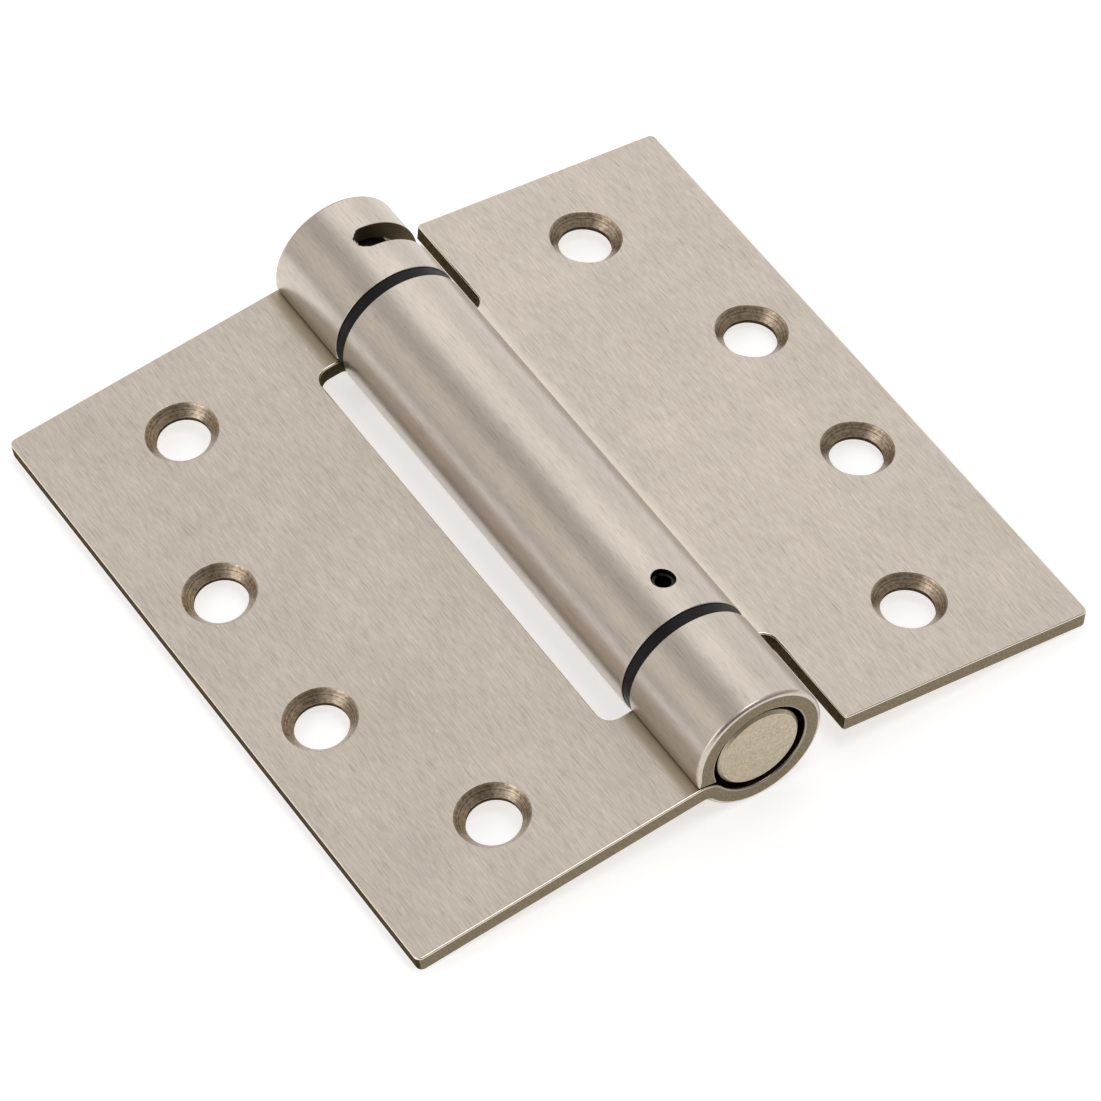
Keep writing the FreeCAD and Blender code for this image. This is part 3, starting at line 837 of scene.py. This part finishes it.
def satin_face(name, brushing, crease_painted_light):
    """Brushed nickel plating on the sheet's faces, with painted light: the given colour in the crease beside the
    barrel, painted shade from the seam into the bore, and a painted highlight on the rounded top edges.
    """
    material, tree, shader = principled(name, 1)
    marks = add(tree, "ShaderNodeGroup", node_tree=brushing)
    lines = marks.outputs["Lines"]
    rolled, crease, bore, polish_and_highlight = (stored(tree, key) for key in ("rolled", "crease", "bore", "polish_and_highlight"))
    tree.links.new(ramp(tree, rolled, 0, 1, LEAF_CONTRAST, BARREL_CONTRAST), marks.inputs["Contrast"])
    cloud = ramp(tree, marks.outputs["Clouds"], *NOISE_RANGE, CLOUD_LOW, CLOUD_HIGH)
    grey = add(tree, "ShaderNodeCombineColor", {0: cloud, 1: cloud, 2: cloud}).outputs[0]
    colour = blend(tree, lines, SATIN_DARK, SATIN_LIGHT)
    colour = blend(tree, 1.0, colour, grey, "MULTIPLY")
    colour = blend(tree, marks.outputs["Specks"], colour, SATIN_SPECK)
    colour = blend(tree, marks.outputs["Scratches"], colour, SATIN_SCRATCH)
    # Painted light in the crease: brown shade on the frame leaf, a highlight on the door leaf
    colour = blend(tree, ramp(tree, crease, 0, 1, 0, CREASE_SHARE), colour, crease_painted_light)
    # Painted shade in the seam and inside the bore
    colour = blend(tree, bore, colour, BORE_PAINTED_SHADE)
    # Painted highlight on the rounded top edges; the roughness below is really smoother there
    colour = blend(tree, ramp(tree, polish_and_highlight, 0, 1, 0, PAINTED_HIGHLIGHT_SHARE), colour, SATIN_PAINTED_HIGHLIGHT)
    rough = ramp(tree, rolled, 0, 1, LEAF_ROUGHNESS, BARREL_ROUGHNESS)
    rough = calculate(tree, "ADD", rough, ramp(tree, lines, 0, 1, BRUSH_RIPPLE, -BRUSH_RIPPLE))
    rough = calculate(tree, "SUBTRACT", rough, ramp(tree, polish_and_highlight, 0, 1, 0, POLISH_SMOOTHING))
    dress(tree, shader, colour, rough, lines, *BRUSH_BUMP)
    return material


def cut_edge(name, low, high, tint, scale):
    """Cut edge of the sheet, with fine grain between the given colours, and tinted where it is seen at a slant; on
    the sheared edges the colours are near black as painted shade.
    """
    material, tree, shader = principled(name, 1)
    shader.inputs["Specular Tint"].default_value = (*tint, 1)
    grain = noise(tree, object_place(tree), scale, detail=4, roughness=0.65)
    colour = blend(tree, ramp(tree, grain, *EDGE_RANGE, 0, 1), low, high)
    rough = ramp(tree, grain, *NOISE_RANGE, *EDGE_ROUGHNESS)
    dress(tree, shader, colour, rough, grain, *EDGE_BUMP)
    return material


def turned_countersink():
    """Countersink cut by a turning tool: rings from the distance stored on the mesh, broken up by grain."""
    material, tree, shader = principled("turned_countersink", 1)
    rings = tool_rings(tree, stored(tree, "ring"), SINK_RINGS)
    grain = noise(tree, object_place(tree), SINK_GRAIN, detail=3, roughness=0.6)
    marks = mix(tree, SINK_GRAIN_SHARE, rings, grain)
    colour = blend(tree, ramp(tree, marks, *SINK_RANGE, 0, 1), SINK_DARK, SINK_LIGHT)
    rough = ramp(tree, rings, *NOISE_RANGE, *SINK_ROUGHNESS)
    dress(tree, shader, colour, rough, marks, *SINK_BUMP)
    return material


def black_bearing():
    """Black moulded nylon with a faint sheen."""
    material, tree, shader = principled("black_bearing", 0)
    shader.inputs["Specular IOR Level"].default_value = BEARING_SHEEN
    grain = noise(tree, object_place(tree), BEARING_GRAIN, detail=3, roughness=0.6)
    colour = blend(tree, grain, BEARING_DARK, BEARING_LIGHT)
    rough = ramp(tree, grain, *NOISE_RANGE, *BEARING_ROUGHNESS)
    dress(tree, shader, colour, rough, grain, *BEARING_BUMP)
    return material


def dark_steel(name, low, high):
    """Blackened or oiled steel inside the barrel."""
    material, tree, shader = principled(name, 1)
    grain = noise(tree, object_place(tree), STEEL_GRAIN, detail=4, roughness=0.6)
    colour = blend(tree, ramp(tree, grain, *NOISE_RANGE, 0, 1), low, high)
    rough = ramp(tree, grain, *NOISE_RANGE, *STEEL_ROUGHNESS)
    dress(tree, shader, colour, rough, grain, *STEEL_BUMP)
    return material


def plug_steel():
    """Turned plain steel: fine grain, and faint rings about the barrel axis."""
    material, tree, shader = principled("plug_steel", 1)
    place = object_place(tree)
    to_axis = {"Vector": place, "Location": (0, 0, -BARREL_RADIUS), "Scale": (1, 0, 1)}
    level = add(tree, "ShaderNodeMapping", to_axis).outputs[0]
    radius = add(tree, "ShaderNodeVectorMath", {0: level}, operation="LENGTH").outputs["Value"]
    rings = tool_rings(tree, radius, PLUG_RINGS)
    grain = noise(tree, place, PLUG_GRAIN, detail=4, roughness=0.6)
    marks = mix(tree, PLUG_RING_SHARE, grain, rings)
    colour = blend(tree, ramp(tree, marks, *PLUG_RANGE, 0, 1), PLUG_DARK, PLUG_LIGHT)
    rough = ramp(tree, grain, *NOISE_RANGE, *PLUG_ROUGHNESS)
    dress(tree, shader, colour, rough, marks, *PLUG_BUMP)
    return material


def floor(reach, grey, glow):
    """White floor: soft grey for the light it passes on, lifted to white where it is seen or mirrored."""
    corners = [(-reach, -reach, 0), (reach, -reach, 0), (reach, reach, 0), (-reach, reach, 0)]
    mesh = bpy.data.meshes.new("floor")
    mesh.from_pydata(corners, [], [(0, 1, 2, 3)])
    piece = bpy.data.objects.new("floor", mesh)
    bpy.context.scene.collection.objects.link(piece)
    material, tree, shader = principled("white_floor", 0)
    shader.inputs["Base Color"].default_value = (grey, grey, grey, 1)
    shader.inputs["Roughness"].default_value = 1
    shader.inputs["Specular IOR Level"].default_value = 0
    shader.inputs["Emission Color"].default_value = (*WHITE, 1)
    path = add(tree, "ShaderNodeLightPath").outputs
    seen = path["Is Camera Ray"]
    for ray in ("Is Glossy Ray", "Is Transmission Ray"):
        seen = calculate(tree, "MAXIMUM", seen, path[ray])
    tree.links.new(ramp(tree, seen, 0, 1, 0, glow), shader.inputs["Emission Strength"])
    mesh.materials.append(material)


def studio():
    """World light that grows from the front of the object to above and behind it."""
    world = bpy.data.worlds.new("studio")
    world.use_nodes = True
    tree = world.node_tree
    place = add(tree, "ShaderNodeTexCoord").outputs["Generated"]
    sides = {0: place, 1: SKY_TOWARDS}
    facing = add(tree, "ShaderNodeVectorMath", sides, operation="DOT_PRODUCT").outputs["Value"]
    colour = blend(tree, ramp(tree, facing, *SKY_RANGE, 0, 1), SKY_FRONT, SKY_BACK)
    tree.links.new(colour, tree.nodes["Background"].inputs["Color"])
    bpy.context.scene.world = world


def softbox(name, turn, far, width, height, radiance, colour):
    """Rectangular lamp one metre from the object, facing it; its power gives the brightness of its face.

    turn is its angle about the barrel from the door leaf's side, in degrees, and far its share of the metre
    towards the barrel's upper end. Its width goes round the barrel and its height along it.
    """
    lamp = bpy.data.lights.new(name, "AREA")
    lamp.shape = "RECTANGLE"
    lamp.size, lamp.size_y = width, height
    lamp.color = colour
    lamp.energy = radiance * math.pi * width * height
    piece = bpy.data.objects.new(name, lamp)
    bpy.context.scene.collection.objects.link(piece)
    level = math.sqrt(1 - far * far)
    towards = Vector((level * math.cos(math.radians(turn)), far, level * math.sin(math.radians(turn))))
    across = Vector((0, 1, 0)).cross(towards).normalized()
    facing = Matrix((across, towards.cross(across), towards)).transposed()
    piece.matrix_world = Matrix.Translation(towards) @ facing.to_4x4()


def photographer():
    """Camera at the photograph's place and angle."""
    lens = bpy.data.cameras.new("camera")
    lens.lens = CAMERA_LENS
    lens.sensor_width = CAMERA_SENSOR
    lens.clip_start, lens.clip_end = CAMERA_NEAR, CAMERA_FAR
    viewer = bpy.data.objects.new("camera", lens)
    bpy.context.scene.collection.objects.link(viewer)
    right, forward = Vector(CAMERA_RIGHT), Vector(CAMERA_FORWARD)
    facing = Matrix((right, right.cross(forward), -forward)).transposed()
    viewer.matrix_world = Matrix.Translation(CAMERA_PLACE) @ facing.to_4x4()
    bpy.context.scene.camera = viewer


brushing = brushing_group()
# Crease colours are painted light: painted shade on the frame leaf, a painted highlight on the door leaf
frame_satin = satin_face("frame_leaf_satin", brushing, CREASE_PAINTED_SHADE)
door_satin = satin_face("door_leaf_satin", brushing, CREASE_PAINTED_HIGHLIGHT)
# Sheared edges are near black as painted shade
sheared = cut_edge("sheared_edge", EDGE_DARK, EDGE_LIGHT, EDGE_TINT, EDGE_GRAIN)
faced = cut_edge("faced_end", END_DARK, END_LIGHT, END_TINT, END_GRAIN)
cut_finishes = [sheared, turned_countersink(), faced]
frame_sheet = frame_leaf([frame_satin] + cut_finishes)
door_sheet = door_leaf([door_satin] + cut_finishes)
for piece, body in ((frame_sheet, "frame_leaf"), (door_sheet, "door_leaf")):
    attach(piece, body)
    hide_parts(body)

black = black_bearing()
node_finishes = {
    "upper_bearing": black,
    "lower_bearing": black,
    "tension_spindle": dark_steel("spindle_steel", SPINDLE_DARK, SPINDLE_LIGHT),
    "roll_pin": dark_steel("pin_steel", PIN_DARK, PIN_LIGHT),
    "pivot_plug": plug_steel(),
}
for node, material in node_finishes.items():
    frame["nodes"][node].data.materials.clear()
    frame["nodes"][node].data.materials.append(material)
torsion_spring(dark_steel("spring_steel", SPRING_DARK, SPRING_LIGHT))

floor(FLOOR_REACH, FLOOR_GREY, FLOOR_GLOW)
studio()
for lamp in LAMPS:
    softbox(*lamp)
photographer()
bpy.context.scene.view_settings.view_transform = "Standard"
